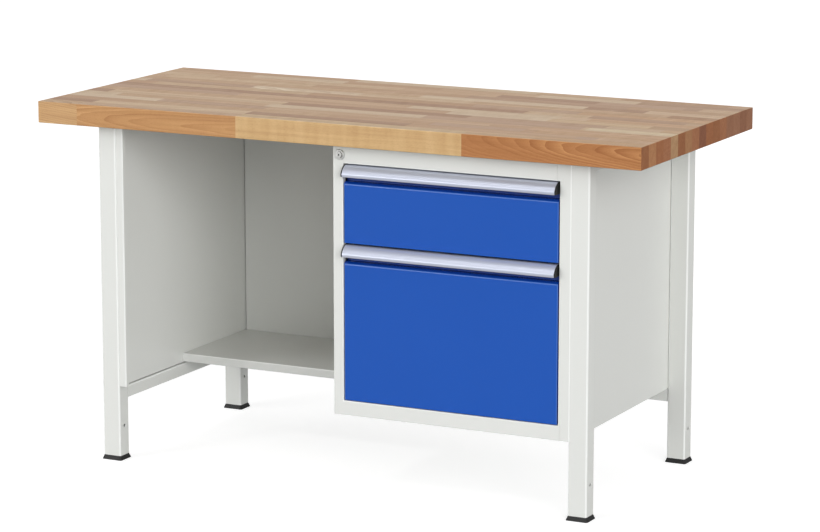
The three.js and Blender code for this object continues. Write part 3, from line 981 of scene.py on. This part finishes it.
def plus(tree, first, second):
    return maths(tree, "ADD", first, second)


def minus(tree, first, second):
    return maths(tree, "SUBTRACT", first, second)


def over_range(tree, value, low, high):
    """Goes from 0 to 1 while a value goes from low to high."""
    inputs = {"Value": value, "From Min": low, "From Max": high}
    return add_node(tree, "MapRange", inputs).outputs[0]


def between(tree, value, low, high):
    """Goes from low to high while a value goes from 0 to 1."""
    inputs = {"Value": value, "To Min": low, "To Max": high}
    return add_node(tree, "MapRange", inputs).outputs[0]


def centred(tree, value, reach):
    """Spreads a value from 0 to 1 evenly to both sides of nothing."""
    return times(tree, minus(tree, value, 0.5), reach)


def distance(tree, aside, above):
    squares = plus(tree, maths(tree, "POWER", aside, 2), maths(tree, "POWER", above, 2))
    return maths(tree, "SQRT", squares)


def noise(tree, place, scale, detail=2, roughness=0.5):
    inputs = {"Vector": place, "Scale": scale, "Detail": detail, "Roughness": roughness}
    return add_node(tree, "TexNoise", inputs).outputs["Fac"]


def figure(tree, place, scale, detail):
    """Noise with its own scale along each axis."""
    return noise(tree, scaled(tree, place, scale), 1, detail)


def ramp(tree, amount, colours, kind="CONSTANT"):
    """Colours spread evenly over an amount from 0 to 1."""
    made = add_node(tree, "ValToRGB", {"Fac": amount})
    band = made.color_ramp
    band.interpolation = kind
    last = len(colours) if kind == "CONSTANT" else len(colours) - 1
    for number, colour in enumerate(colours):
        stop = band.elements[number] if number < 2 else band.elements.new(number / last)
        stop.position = number / last
        stop.color = colour
    return made.outputs["Color"]


# The mix node's sockets for colours
AMOUNT, UNDER, OVER, MIXED = 0, 6, 7, 2


def blend(tree, kind, amount, under, over):
    inputs = {AMOUNT: amount, UNDER: under, OVER: over}
    return add_node(tree, "Mix", inputs, data_type="RGBA", blend_type=kind).outputs[MIXED]


def luck(tree, first, second, seed):
    """Three chance values from 0 to 1 for each pair of numbers."""
    pair = add_node(tree, "CombineXYZ", {0: first, 1: second, 2: seed}).outputs[0]
    return add_node(tree, "TexWhiteNoise", {"Vector": pair}).outputs["Color"]


def split(tree, colour):
    return add_node(tree, "SeparateColor", {"Color": colour}).outputs


def relief(tree, height, depth, strength):
    return add_node(tree, "Bump", {"Height": height, "Distance": depth, "Strength": strength}).outputs[0]


def grey(value):
    return (value, value, value, 1)


def new_material(name):
    material = bpy.data.materials.new(name)
    material.use_nodes = True
    tree = material.node_tree
    return material, tree, tree.nodes["Principled BSDF"]


def new_group(name, inputs, outputs):
    group = bpy.data.node_groups.new(name, "ShaderNodeTree")
    for socket, kind in inputs.items():
        group.interface.new_socket(socket, in_out="INPUT", socket_type=kind)
    for socket in outputs:
        group.interface.new_socket(socket, in_out="OUTPUT", socket_type="NodeSocketFloat")
    return group, group.nodes.new("NodeGroupInput").outputs, group.nodes.new("NodeGroupOutput")


def shared(tree, group, inputs):
    return add_node(tree, "Group", inputs, node_tree=group).outputs


# Effects that several finishes share
PEBBLE_BREAKUP = 0.45
DRIFT_SCALE = 3
# How far a face turns from the axes before the painted edge highlight starts and is full
EDGE_START = 0.992
EDGE_FULL = 0.95
RICH_DETAIL = 3
LINE_BREAKUP = 0.6
BLOOM_SCALE = 0.03


def make_pebbled_skin():
    """Shared by paints and mouldings: fine pebbles and a slow drift of tone."""
    inputs = {"Place": "NodeSocketVector", "Pebbles": "NodeSocketFloat"}
    group, given, result = new_group("pebbled_skin", inputs, ("Pebble", "Drift"))
    pebble = noise(group, given["Place"], given["Pebbles"], roughness=PEBBLE_BREAKUP)
    drift = noise(group, given["Place"], DRIFT_SCALE, RICH_DETAIL)
    feed_all(group, result, {"Pebble": pebble, "Drift": drift})
    return group


def make_rounded_edges():
    """Shared by paints: a mask of where a fold or a corner turns from one flat face to the next, which takes
    a painted highlight.
    """
    group, given, result = new_group("painted_edge_highlight", {"Facing": "NodeSocketVector"}, ("Edge",))
    sides = add_node(group, "VectorMath", {0: given["Facing"]}, operation="ABSOLUTE").outputs[0]
    axes = axes_of(group, sides)
    flat = maths(group, "MAXIMUM", maths(group, "MAXIMUM", axes[X], axes[Y]), axes[Z])
    feed_all(group, result, {"Edge": over_range(group, flat, EDGE_START, EDGE_FULL)})
    return group


def make_drawn_lines():
    """Shared by bare metals: fine lines along the way they were drawn or turned."""
    group, given, result = new_group("drawn_lines", {"Place": "NodeSocketVector"}, ("Lines", "Bloom"))
    lines = noise(group, given["Place"], 1, RICH_DETAIL, LINE_BREAKUP)
    bloom = noise(group, given["Place"], BLOOM_SCALE)
    feed_all(group, result, {"Lines": lines, "Bloom": bloom})
    return group


PEBBLED_SKIN = make_pebbled_skin()
EDGE_HIGHLIGHT_MASK = make_rounded_edges()
DRAWN_LINES = make_drawn_lines()

# Paints and mouldings
PAINT_PEBBLES = 650
PAINT_DEPTH = 0.12 * MM
PLASTIC_PEBBLES = 1500
PLASTIC_DEPTH = 0.08 * MM
PEBBLE_STRENGTH = 0.2
PAINT_SHEEN = 0.5
PLASTIC_SHEEN = 0.35
# Painted shade in the drawer fronts' recess behind the grip: where it starts behind the face, how far it
# takes to deepen, and its tone
RECESS_SHADE_FROM = 1.0 * MM
RECESS_SHADE_REACH = 1.2 * MM
RECESS_SHADE_TONE = (0.20, 0.40, 0.56, 1)


def pebbled(name, pebbles, depth, tones, edge_highlight_tone, roughness, sheen=PAINT_SHEEN, shade_past=None):
    """A paint or a moulding with a pebbled skin and a painted highlight on its rounded edges; past a given
    depth behind the face it is darkened as painted shade.
    """
    material, tree, shader = new_material(name)
    place = coordinates(tree, "Object")
    pebble, drift = shared(tree, PEBBLED_SKIN, {"Place": place, "Pebbles": pebbles})
    colour = ramp(tree, drift, tones, "LINEAR")
    (edge,) = shared(tree, EDGE_HIGHLIGHT_MASK, {"Facing": coordinates(tree, "Normal")})
    # Painted shade: the recess behind the grip is darkened, and the painted highlight is kept off it
    if shade_past is not None:
        inwards = axes_of(tree, place)[Y]
        recess_shade = over_range(tree, inwards, shade_past, shade_past + RECESS_SHADE_REACH)
        colour = blend(tree, "MULTIPLY", recess_shade, colour, RECESS_SHADE_TONE)
        edge = times(tree, edge, maths(tree, "LESS_THAN", inwards, shade_past))
    # Painted highlight: rounded edges and folds are mixed towards a paler tone, for the light they catch
    colour = blend(tree, "MIX", edge, colour, edge_highlight_tone)
    feed_all(tree, shader, {
        "Base Color": colour,
        "Roughness": between(tree, pebble, *roughness),
        "Specular IOR Level": sheen,
        "Normal": relief(tree, pebble, depth, PEBBLE_STRENGTH),
    })
    return material


# Bare metals
LINE_DEPTH = 0.03 * MM
LINE_STRENGTH = 0.3
GRIP_LINES = (4, 1300, 1300)
SLIDE_LINES = (900, 9, 900)
TURNED_LINES = 2600


def drawn(name, lines_from, tones, roughness, metallic=1):
    """A bare metal with fine lines."""
    material, tree, shader = new_material(name)
    place = lines_from(tree, coordinates(tree, "Object"))
    fine, bloom = shared(tree, DRAWN_LINES, {"Place": place})
    feed_all(tree, shader, {
        "Base Color": ramp(tree, bloom, tones, "LINEAR"),
        "Metallic": metallic,
        "Roughness": between(tree, fine, *roughness),
        "Normal": relief(tree, fine, LINE_DEPTH, LINE_STRENGTH),
    })
    return material


def straight(scale):
    return lambda tree, place: scaled(tree, place, scale)


def turned_about_lock(tree, place):
    """Rings round the lock's axis."""
    middle = middle_of("lock_barrel")
    axes = axes_of(tree, place)
    aside = minus(tree, axes[X], middle.x)
    above = minus(tree, axes[Z], middle.z)
    ring = times(tree, distance(tree, aside, above), TURNED_LINES)
    deep = times(tree, axes[Y], TURNED_LINES)
    return add_node(tree, "CombineXYZ", {0: ring, 1: deep}).outputs[0]


# Staves of the wood top
STAVE_ROWS = 16
ROW_MARGIN = 0.001
STAVE_SHORT = 0.24
STAVE_LONG = 0.50
FRONT_JOINTS = (-0.645, -0.228, 0.331)
FRONT_STAVES = 50
END_STAVES = 99
END_JOINT = 0.40
END_JOINT_SPREAD = 0.25
SHARE_ON_TOP = 0.3
FACING = 0.7
GLUE_LINE = 0.25 * MM
ROW_SEED = 1.7
STAVE_SEED = 5.3
CUT_SEED = 2.9
RISE_SEED = 8.1
RING_SEED = 3.1

# Tints of single staves
UMBER = (0.46, 0.21, 0.10, 1)
RUSSET = (0.58, 0.278, 0.103, 1)
CHESTNUT = (0.65, 0.31, 0.12, 1)
AMBER = (0.71, 0.43, 0.195, 1)
HONEY = (0.68, 0.35, 0.16, 1)
STRAW = (0.77, 0.53, 0.278, 1)
APRICOT = (0.82, 0.485, 0.22, 1)
CREAM = (0.855, 0.65, 0.355, 1)
CLAY = (0.52, 0.28, 0.15, 1)
TAN = (0.62, 0.35, 0.18, 1)
BISCUIT = (0.67, 0.40, 0.21, 1)
SAND = (0.72, 0.46, 0.25, 1)
IVORY = (0.76, 0.52, 0.31, 1)
ROSE = (0.625, 0.37, 0.215, 1)
TAUPE = (0.575, 0.325, 0.18, 1)
TOP_TINTS = (CLAY, TAN, BISCUIT, SAND, ROSE, TAUPE, IVORY, BISCUIT)
FRONT_TINTS = (STRAW, AMBER, CREAM, RUSSET)
END_TINTS = (
    RUSSET, APRICOT, CHESTNUT, HONEY, CREAM, RUSSET, AMBER, HONEY,
    UMBER, CHESTNUT, RUSSET, HONEY, TAUPE, ROSE, CLAY, TAUPE,
)

# Growth rings: each front stave's cut says how far aside the pith lies, its slant and how strong the rings
# show, and its rise says how far above the pith lies, its slant and how wide the rings are
FRONT_CUTS = ((0.54, 0.50, 0.90), (0.529, 0.30, 0.75), (0.30, 0.52, 0.15), (0.724, 0.20, 0.95))
FRONT_RISES = ((0.809, 0.857, 0.55), (0.51, 0.50, 0.67), (0.60, 0.50, 0.25), (0.44, 0.60, 0.30))
PITH_REACH = 0.5
SLANT_REACH = 0.3
RING_NARROW = 2.4 * MM
RING_WIDE = 7.0 * MM
RING_SHARPNESS = 2.2
RING_FAINTEST = 0.2
SWAY = 16 * MM
SWAY_FIGURE = ((2.6, 9, 9), 1)
WAVER = 3.2 * MM
WAVER_FIGURE = ((14, 70, 70), 2)

# Figure of the wood: each figure has its scale along, across and up, and its detail
STAVE_APART = (9, 9, 9)
FIBRE_FIGURE = ((7, 330, 330), 3)
STREAK_FIGURE = ((1.6, 85, 85), 4)
CURL_FIGURE = ((46, 8, 8), 2)
FLECK_FIGURE = ((240, 2100, 2100), 1)
FLECK_LEVEL = 0.66
FLECK_SHARE = 0.7
GLUE_SHARE = 0.6
STEEP = (0.3, 0.7)
RING_BROWN = (0.74, 0.62, 0.53, 1)
RING_PALE = (1.32, 1.52, 1.70, 1)
FIBRE_BROWN = (0.88, 0.83, 0.78, 1)
STREAK_BROWN = (0.87, 0.82, 0.78, 1)
CURL_BROWN = (0.88, 0.83, 0.76, 1)
FLECK_BROWN = (0.72, 0.60, 0.52, 1)
GLUE_BROWN = (0.70, 0.58, 0.48, 1)
END_BROWN = (0.57, 0.46, 0.43, 1)
# Painted sheen: the top faces are made paler and cooler, for the white light they reflect
TOP_SHEEN_PALE = (1.09, 1.27, 1.52, 1)
# Painted shade: the underside is darkened and cooled, so that less warm light bounces into the open bay
UNDERSIDE_SHADE = (0.45, 0.50, 0.60, 1)
WOOD_ROUGHNESS = (0.46, 0.62)
WOOD_SHEEN = 0.35
RING_HEIGHT = 0.3
GLUE_HEIGHT = -0.8
WOOD_DEPTH = 0.12 * MM
WOOD_STRENGTH = 0.35


def stave_layout(tree, place):
    """Divides the board into rows of staves and tells for each place which stave it is in."""
    low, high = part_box("worktop")
    width = (high.y - low.y) / STAVE_ROWS
    along, across, up = axes_of(tree, place)
    row_place = maths(tree, "DIVIDE", minus(tree, across, low.y), width)
    row_place = maths(tree, "MAXIMUM", row_place, ROW_MARGIN)
    row_place = maths(tree, "MINIMUM", row_place, STAVE_ROWS - ROW_MARGIN)
    row = maths(tree, "FLOOR", row_place)
    in_row = maths(tree, "FRACT", row_place)
    front_row = maths(tree, "LESS_THAN", row, 1)
    other_rows = minus(tree, 1, front_row)
    row_luck = split(tree, luck(tree, row, 0, ROW_SEED))

    length = between(tree, row_luck[0], STAVE_SHORT, STAVE_LONG)
    reach = plus(tree, plus(tree, along, high.x - low.x), row_luck[1])
    stave_place = maths(tree, "DIVIDE", reach, length)
    past_joint = times(tree, maths(tree, "FRACT", stave_place), length)
    joint = times(tree, maths(tree, "LESS_THAN", past_joint, 2 * GLUE_LINE), other_rows)
    edge = times(tree, maths(tree, "MINIMUM", in_row, minus(tree, 1, in_row)), width)

    end_joint = plus(tree, times(tree, row_luck[2], END_JOINT_SPREAD), END_JOINT)
    at_end = maths(tree, "GREATER_THAN", along, end_joint)
    number = maths(tree, "MULTIPLY_ADD", at_end, END_STAVES, maths(tree, "FLOOR", stave_place))
    front_number = 0
    for mark in FRONT_JOINTS:
        front_number = plus(tree, front_number, maths(tree, "GREATER_THAN", along, mark))
    number = times(tree, other_rows, number)
    number = maths(tree, "MULTIPLY_ADD", front_row, plus(tree, front_number, FRONT_STAVES), number)
    return SimpleNamespace(
        row=row, number=number, front_row=front_row, at_end=at_end, along=along,
        row_share=maths(tree, "DIVIDE", plus(tree, row, 0.5), STAVE_ROWS),
        front_share=maths(tree, "DIVIDE", plus(tree, front_number, 0.5), len(FRONT_TINTS)),
        luck=luck(tree, row, number, STAVE_SEED),
        glue=maths(tree, "MAXIMUM", maths(tree, "LESS_THAN", edge, GLUE_LINE), joint),
        aside=times(tree, minus(tree, in_row, 0.5), width),
        above=minus(tree, up, (low.z + high.z) / 2),
    )


def stave_tint(tree, stave, end_grain, facing_up):
    """Each stave's tint; those of the front and the right end show fully only on their own faces."""
    tint = ramp(tree, split(tree, stave.luck)[0], TOP_TINTS)
    end_tint = ramp(tree, stave.row_share, END_TINTS)
    end_amount = times(tree, stave.at_end, between(tree, end_grain, SHARE_ON_TOP, 1))
    tint = blend(tree, "MIX", end_amount, tint, end_tint)
    front_tint = ramp(tree, stave.front_share, FRONT_TINTS)
    front_amount = times(tree, stave.front_row, between(tree, facing_up, 1, SHARE_ON_TOP))
    return blend(tree, "MIX", front_amount, tint, front_tint)


def stave_shape(tree, stave, seed, front_shapes):
    """Three values for each stave: chosen ones in the front row, chance ones in the others."""
    chosen = ramp(tree, stave.front_share, [(*shape, 1) for shape in front_shapes])
    chance = luck(tree, stave.row, stave.number, seed)
    return split(tree, blend(tree, "MIX", stave.front_row, chance, chosen))


def growth_rings(tree, stave, grain):
    """The late and the early wood of rings round a pith, and how strong they show in the stave."""
    pith_aside, slant_aside, strength = stave_shape(tree, stave, CUT_SEED, FRONT_CUTS)
    pith_above, slant_above, spread = stave_shape(tree, stave, RISE_SEED, FRONT_RISES)
    sway = centred(tree, figure(tree, grain, *SWAY_FIGURE), SWAY)
    waver = centred(tree, figure(tree, grain, *WAVER_FIGURE), WAVER)
    aside = plus(tree, stave.aside, centred(tree, pith_aside, PITH_REACH))
    aside = maths(tree, "MULTIPLY_ADD", centred(tree, slant_aside, SLANT_REACH), stave.along, aside)
    aside = plus(tree, aside, sway)
    above = plus(tree, stave.above, centred(tree, pith_above, PITH_REACH))
    above = maths(tree, "MULTIPLY_ADD", centred(tree, slant_above, SLANT_REACH), stave.along, above)
    radius = plus(tree, distance(tree, aside, above), waver)
    ring_place = maths(tree, "DIVIDE", radius, between(tree, spread, RING_NARROW, RING_WIDE))
    in_ring = maths(tree, "FRACT", ring_place)
    ring_luck = split(tree, luck(tree, maths(tree, "FLOOR", ring_place), stave.row, RING_SEED))
    late = maths(tree, "POWER", in_ring, RING_SHARPNESS)
    late = times(tree, late, between(tree, ring_luck[0], RING_FAINTEST, 1))
    early = maths(tree, "POWER", minus(tree, 1, in_ring), RING_SHARPNESS)
    early = times(tree, early, maths(tree, "POWER", ring_luck[1], 2))
    return late, early, strength


def beech_finish():
    """Glued staves in rows, each with its own tint and its own cut through the growth rings."""
    material, tree, shader = new_material("oiled_beech")
    place = coordinates(tree, "Object")
    facing = axes_of(tree, coordinates(tree, "Normal"))
    end_grain = maths(tree, "GREATER_THAN", maths(tree, "ABSOLUTE", facing[X]), FACING)
    # Upward faces: they take the front staves' share and the painted sheen
    facing_up = maths(tree, "GREATER_THAN", facing[Z], FACING)
    # Downward faces, which take painted shade
    facing_down = maths(tree, "LESS_THAN", facing[Z], -FACING)

    stave = stave_layout(tree, place)
    offset = {0: stave.luck, 1: STAVE_APART, 2: place}
    grain = add_node(tree, "VectorMath", offset, operation="MULTIPLY_ADD").outputs[0]
    late, early, strength = growth_rings(tree, stave, grain)
    fibre = figure(tree, grain, *FIBRE_FIGURE)
    streak = over_range(tree, figure(tree, grain, *STREAK_FIGURE), *STEEP)
    curl = over_range(tree, figure(tree, grain, *CURL_FIGURE), *STEEP)
    fleck = maths(tree, "GREATER_THAN", figure(tree, grain, *FLECK_FIGURE), FLECK_LEVEL)

    colour = stave_tint(tree, stave, end_grain, facing_up)
    for amount, stain in (
        (times(tree, late, strength), RING_BROWN),
        (times(tree, early, strength), RING_PALE),
        (fibre, FIBRE_BROWN),
        (streak, STREAK_BROWN),
        (times(tree, curl, minus(tree, 1, strength)), CURL_BROWN),
        (times(tree, fleck, FLECK_SHARE), FLECK_BROWN),
        (times(tree, stave.glue, GLUE_SHARE), GLUE_BROWN),
        (end_grain, END_BROWN),
        # Painted sheen on the top
        (facing_up, TOP_SHEEN_PALE),
        # Painted shade on the underside
        (facing_down, UNDERSIDE_SHADE),
    ):
        colour = blend(tree, "MULTIPLY", amount, colour, stain)
    height = maths(tree, "MULTIPLY_ADD", late, RING_HEIGHT, fibre)
    height = maths(tree, "MULTIPLY_ADD", stave.glue, GLUE_HEIGHT, height)
    feed_all(tree, shader, {
        "Base Color": colour,
        "Roughness": between(tree, fibre, *WOOD_ROUGHNESS),
        "Specular IOR Level": WOOD_SHEEN,
        "Normal": relief(tree, height, WOOD_DEPTH, WOOD_STRENGTH),
    })
    return material


# Each edge tone is a painted highlight on rounded edges and folds
FINISHES = {
    "beech": beech_finish(),
    "grey_paint": pebbled(
        "light_grey_paint", PAINT_PEBBLES, PAINT_DEPTH,
        tones=((0.735, 0.745, 0.715, 1), (0.765, 0.775, 0.745, 1)),
        edge_highlight_tone=(0.90, 0.91, 0.89, 1), roughness=(0.20, 0.30),
    ),
    "blue_paint": pebbled(
        "gentian_blue_paint", PAINT_PEBBLES, PAINT_DEPTH,
        tones=((0.0048, 0.079, 0.428, 1), (0.0058, 0.087, 0.457, 1)),
        edge_highlight_tone=(0.06, 0.16, 0.52, 1), roughness=(0.14, 0.24),
        shade_past=FACE_Y + RECESS_SHADE_FROM,
    ),
    "black_plastic": pebbled(
        "black_moulding", PLASTIC_PEBBLES, PLASTIC_DEPTH,
        tones=(grey(0.007), grey(0.013)),
        edge_highlight_tone=grey(0.016), roughness=(0.42, 0.60), sheen=PLASTIC_SHEEN,
    ),
    "grip_aluminium": drawn(
        "satin_aluminium", straight(GRIP_LINES),
        tones=((0.60, 0.635, 0.755, 1), (0.65, 0.685, 0.80, 1)),
        roughness=(0.28, 0.40), metallic=0.5,
    ),
    "zinc_steel": drawn(
        "zinc_plated_steel", straight(SLIDE_LINES),
        tones=((0.56, 0.58, 0.60, 1), (0.66, 0.68, 0.69, 1)),
        roughness=(0.28, 0.44),
    ),
    "lock_nickel": drawn(
        "nickel_plate", turned_about_lock,
        tones=((0.55, 0.55, 0.53, 1), (0.63, 0.63, 0.61, 1)),
        roughness=(0.36, 0.50),
    ),
}

make_worktop()
make_legs()
make_feet()
make_rails()
make_screws()
make_side_panel()
make_cabinet_frame()
make_cabinet_floor()
make_back_panel()
make_shelf()
make_uprights()
for name in DRAWERS:
    make_drawer_front(name)
    make_drawer_box(name)
make_grips()
make_grip_caps()
for member in ("cabinet", "middle", "drawer"):
    make_slides(member)
make_catches()
make_lock_housing()
make_lock_barrel()
make_lock_cam()
make_lock_bar()
make_guides()


# Studio
WHITE = grey(1)
FLOOR_SIZE = 80
FLOOR_GREY = grey(0.6)
FLOOR_GLOW = 0.68
SKY = 0.40
CAMERA_PLACE = (3.351, -6.536, 1.913)
CAMERA_DIP = 11.164
CAMERA_TURN = 26.844
CAMERA_LENS = 142.7
CAMERA_FILM = 36
# Each light's turn round the bench and its rise, in degrees, its power, and how wide it shines, in degrees
LIGHTS = {
    "key_light": (56, 10, 1.04, 36),
    "front_key_light": (42, 15, 0.88, 36),
    "side_light": (90, 25, 0.19, 36),
    "fill_light": (-42, 8, 1.34, 36),
    "top_light": (-25, 50, 0.24, 8),
    "back_light": (207, 25, 0.38, 60),
}


def seen_by_camera(tree):
    return add_node(tree, "LightPath").outputs["Is Camera Ray"]


def make_floor():
    """A floor that takes soft shadows and shows as white."""
    bpy.ops.mesh.primitive_plane_add(size=FLOOR_SIZE, location=(0, 0, 0))
    floor = bpy.context.object
    floor.name = "studio_floor"
    material, tree, shader = new_material("white_floor")
    feed_all(tree, shader, {
        "Base Color": FLOOR_GREY,
        "Roughness": 1,
        "Specular IOR Level": 0,
        "Emission Color": WHITE,
        "Emission Strength": times(tree, seen_by_camera(tree), FLOOR_GLOW),
    })
    floor.data.materials.append(material)


def make_world():
    """An even soft light from all round, shown as white."""
    world = bpy.data.worlds.new("studio_world")
    bpy.context.scene.world = world
    world.use_nodes = True
    tree = world.node_tree
    strength = between(tree, seen_by_camera(tree), SKY, 1)
    feed_all(tree, tree.nodes["Background"], {"Color": WHITE, "Strength": strength})


def make_light(name, turn, rise, power, spread):
    bpy.ops.object.light_add(type="SUN", rotation=(math.radians(90 - rise), 0, math.radians(turn)))
    light = bpy.context.object
    light.name = name
    light.data.energy = power
    light.data.angle = math.radians(spread)


def make_camera():
    rotation = (math.radians(90 - CAMERA_DIP), 0, math.radians(CAMERA_TURN))
    bpy.ops.object.camera_add(location=CAMERA_PLACE, rotation=rotation)
    camera = bpy.context.object
    camera.name = "photo_camera"
    camera.data.lens = CAMERA_LENS
    camera.data.sensor_width = CAMERA_FILM
    camera.data.sensor_fit = "HORIZONTAL"
    bpy.context.scene.camera = camera
    bpy.context.scene.view_settings.view_transform = "Standard"


make_floor()
make_world()
for name, setting in LIGHTS.items():
    make_light(name, *setting)
make_camera()
